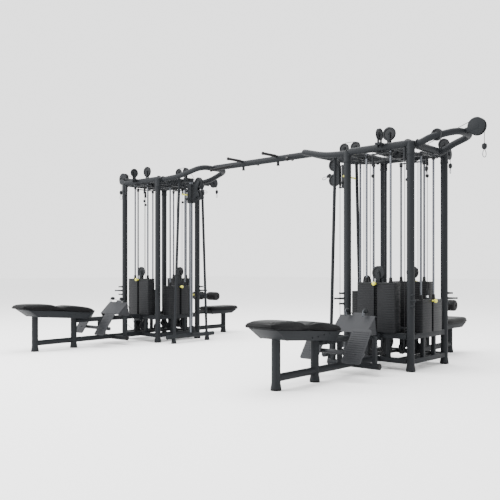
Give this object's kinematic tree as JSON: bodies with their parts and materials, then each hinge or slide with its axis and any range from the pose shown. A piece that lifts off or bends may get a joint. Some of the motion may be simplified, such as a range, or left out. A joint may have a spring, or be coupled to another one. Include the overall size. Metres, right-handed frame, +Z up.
{
  "type": "multi-station cable machine",
  "caption": "Two four-post cable towers joined by an overhead pull-up beam, with row benches in front, lat seats behind, adjustable crossover columns between and high end pulleys.",
  "frame": {"origin": "on the floor, in the middle of the machine's footprint box; y = 0 is also the line of the front posts", "axes": "+X along the machine from the left tower to the right one, +Y from the row benches to the lat seats, +Z up"},
  "size_m": [5.74, 3.79, 2.484],
  "materials": {
    "powder_coat": "satin charcoal powder coat",
    "weight_plate": "satin black",
    "chrome": "polished",
    "pulley": "moulded nylon",
    "upholstery": "grained black vinyl",
    "panel": "satin grey powder coat"
  },
  "bodies": {
    "frame": {"left_front_inner_post": "powder_coat", "left_front_outer_post": "powder_coat", "left_back_inner_post": "powder_coat", "left_back_outer_post": "powder_coat", "left_base_frame": "powder_coat", "left_top_frame": "powder_coat", "left_row_stack": "weight_plate", "left_lat_stack": "weight_plate", "left_end_stack": "weight_plate", "left_cross_stack": "weight_plate", "left_guide_rods": "chrome", "left_cross_brace": "powder_coat", "left_column": "chrome", "left_end_arm": "powder_coat", "left_lat_arm": "powder_coat", "left_row_frame": "powder_coat", "left_row_pad": "upholstery", "left_footplates": "panel", "left_row_cover": "panel", "left_lat_frame": "powder_coat", "left_lat_seat": "upholstery", "right_front_inner_post": "powder_coat", "right_front_outer_post": "powder_coat", "right_back_inner_post": "powder_coat", "right_back_outer_post": "powder_coat", "right_base_frame": "powder_coat", "right_top_frame": "powder_coat", "right_row_stack": "weight_plate", "right_lat_stack": "weight_plate", "right_end_stack": "weight_plate", "right_cross_stack": "weight_plate", "right_guide_rods": "chrome", "right_cross_brace": "powder_coat", "right_column": "chrome", "right_end_arm": "powder_coat", "right_lat_arm": "powder_coat", "right_row_frame": "powder_coat", "right_row_pad": "upholstery", "right_footplates": "panel", "right_row_cover": "panel", "right_lat_frame": "powder_coat", "right_lat_seat": "upholstery", "crossover_beam": "powder_coat"},
    "left_row_plates": {"left_row_lift": "weight_plate"},
    "left_lat_plates": {"left_lat_lift": "weight_plate"},
    "left_end_plates": {"left_end_lift": "weight_plate"},
    "left_cross_plates": {"left_cross_lift": "weight_plate"},
    "left_carriage": {"left_carriage": "powder_coat"},
    "left_swivel": {"left_swivel_pulleys": "pulley"},
    "left_end_pulley": {"left_end_pulley": "pulley"},
    "left_thigh_rollers": {"left_thigh_rollers": "upholstery"},
    "right_row_plates": {"right_row_lift": "weight_plate"},
    "right_lat_plates": {"right_lat_lift": "weight_plate"},
    "right_end_plates": {"right_end_lift": "weight_plate"},
    "right_cross_plates": {"right_cross_lift": "weight_plate"},
    "right_carriage": {"right_carriage": "powder_coat"},
    "right_swivel": {"right_swivel_pulleys": "pulley"},
    "right_end_pulley": {"right_end_pulley": "pulley"},
    "right_thigh_rollers": {"right_thigh_rollers": "upholstery"}
  },
  "joints": [
    {"name": "left_row_lift_slide", "type": "slide", "parent": "frame", "child": "left_row_plates", "axis": [0, 0, 1], "range_m": [0, 0.8]},
    {"name": "left_lat_lift_slide", "type": "slide", "parent": "frame", "child": "left_lat_plates", "axis": [0, 0, 1], "range_m": [0, 0.8]},
    {"name": "left_end_lift_slide", "type": "slide", "parent": "frame", "child": "left_end_plates", "axis": [0, 0, 1], "range_m": [0, 0.8]},
    {"name": "left_cross_lift_slide", "type": "slide", "parent": "frame", "child": "left_cross_plates", "axis": [0, 0, 1], "range_m": [0, 0.8]},
    {"name": "left_carriage_slide", "type": "slide", "parent": "frame", "child": "left_carriage", "axis": [0, 0, 1], "range_m": [-1.7, 0]},
    {"name": "left_swivel_turn", "type": "hinge", "parent": "left_carriage", "child": "left_swivel", "pos_m": [-1.198, 0.374, 2.06], "axis": [0, 0, 1], "range_deg": [-60, 60]},
    {"name": "left_end_pulley_spin", "type": "hinge", "parent": "frame", "child": "left_end_pulley", "pos_m": [-2.79, 0.374, 2.404], "axis": [0, 1, 0], "range_deg": [-1160, 0]},
    {"name": "left_thigh_roller_slide", "type": "slide", "parent": "frame", "child": "left_thigh_rollers", "axis": [0, 0, 1], "range_m": [-0.08, 0.1]},
    {"name": "right_row_lift_slide", "type": "slide", "parent": "frame", "child": "right_row_plates", "axis": [0, 0, 1], "range_m": [0, 0.8]},
    {"name": "right_lat_lift_slide", "type": "slide", "parent": "frame", "child": "right_lat_plates", "axis": [0, 0, 1], "range_m": [0, 0.8]},
    {"name": "right_end_lift_slide", "type": "slide", "parent": "frame", "child": "right_end_plates", "axis": [0, 0, 1], "range_m": [0, 0.8]},
    {"name": "right_cross_lift_slide", "type": "slide", "parent": "frame", "child": "right_cross_plates", "axis": [0, 0, 1], "range_m": [0, 0.8]},
    {"name": "right_carriage_slide", "type": "slide", "parent": "frame", "child": "right_carriage", "axis": [0, 0, 1], "range_m": [-1.7, 0]},
    {"name": "right_swivel_turn", "type": "hinge", "parent": "right_carriage", "child": "right_swivel", "pos_m": [1.198, 0.374, 2.06], "axis": [0, 0, 1], "range_deg": [-60, 60]},
    {"name": "right_end_pulley_spin", "type": "hinge", "parent": "frame", "child": "right_end_pulley", "pos_m": [2.79, 0.374, 2.404], "axis": [0, 1, 0], "range_deg": [0, 1160]},
    {"name": "right_thigh_roller_slide", "type": "slide", "parent": "frame", "child": "right_thigh_rollers", "axis": [0, 0, 1], "range_m": [-0.08, 0.1]}
  ],
  "couplings": [
    {"joint": "left_end_pulley_spin", "follows": "left_end_lift_slide", "rad_per_m": -25},
    {"joint": "right_end_pulley_spin", "follows": "right_end_lift_slide", "rad_per_m": 25}
  ]
}
